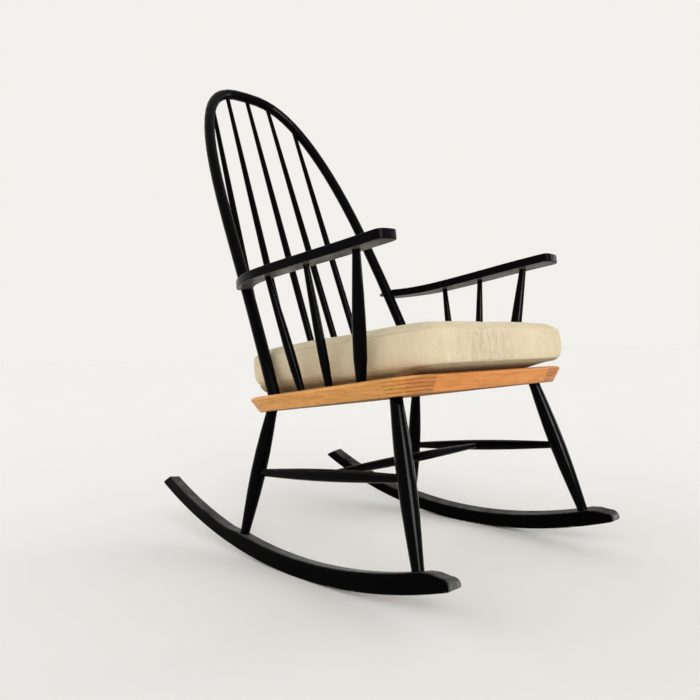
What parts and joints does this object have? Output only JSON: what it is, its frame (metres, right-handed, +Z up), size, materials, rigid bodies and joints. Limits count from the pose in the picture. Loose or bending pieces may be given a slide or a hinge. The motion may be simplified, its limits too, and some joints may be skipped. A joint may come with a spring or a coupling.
{
  "type": "rocking chair",
  "caption": "Hoop-back spindle rocking chair with arms, black lacquered turned legs on rockers, a finger-jointed natural wood seat frame and a loose box cushion.",
  "frame": {"origin": "on the floor, under the middle of the chair's box", "axes": "+Z up, -Y the way the sitter faces, +X to the sitter's left"},
  "size_m": [0.559, 0.8368, 1.0603],
  "materials": {
    "black_lacquer": "satin",
    "natural_wood": "satin",
    "cushion_fabric": "matte",
    "webbing": "matte",
    "screw": "satin"
  },
  "bodies": {
    "chair": {"arm_left": "black_lacquer", "arm_post_front_left": "black_lacquer", "arm_post_front_right": "black_lacquer", "arm_post_middle_left": "black_lacquer", "arm_post_middle_right": "black_lacquer", "arm_post_rear_left": "black_lacquer", "arm_post_rear_right": "black_lacquer", "arm_right": "black_lacquer", "arm_screw_left": "screw", "arm_screw_right": "screw", "back_spindle_1": "black_lacquer", "back_spindle_2": "black_lacquer", "back_spindle_3": "black_lacquer", "back_spindle_4": "black_lacquer", "back_spindle_5": "black_lacquer", "bow": "black_lacquer", "cross_stretcher": "black_lacquer", "leg_front_left": "black_lacquer", "leg_front_right": "black_lacquer", "leg_rear_left": "black_lacquer", "leg_rear_right": "black_lacquer", "rocker_left": "black_lacquer", "rocker_right": "black_lacquer", "seat_rail_front": "natural_wood", "seat_rail_left": "natural_wood", "seat_rail_rear": "natural_wood", "seat_rail_right": "natural_wood", "seat_strap_1": "webbing", "seat_strap_2": "webbing", "seat_strap_3": "webbing", "seat_strap_4": "webbing", "seat_strap_5": "webbing", "side_stretcher_left": "black_lacquer", "side_stretcher_right": "black_lacquer"},
    "cushion": {"seat_cushion": "cushion_fabric"}
  },
  "joints": [
    {"name": "cushion_lift", "type": "slide", "parent": "chair", "child": "cushion", "axis": [0, -0.8953, 0.4454], "range_m": [0, 0.4]}
  ]
}
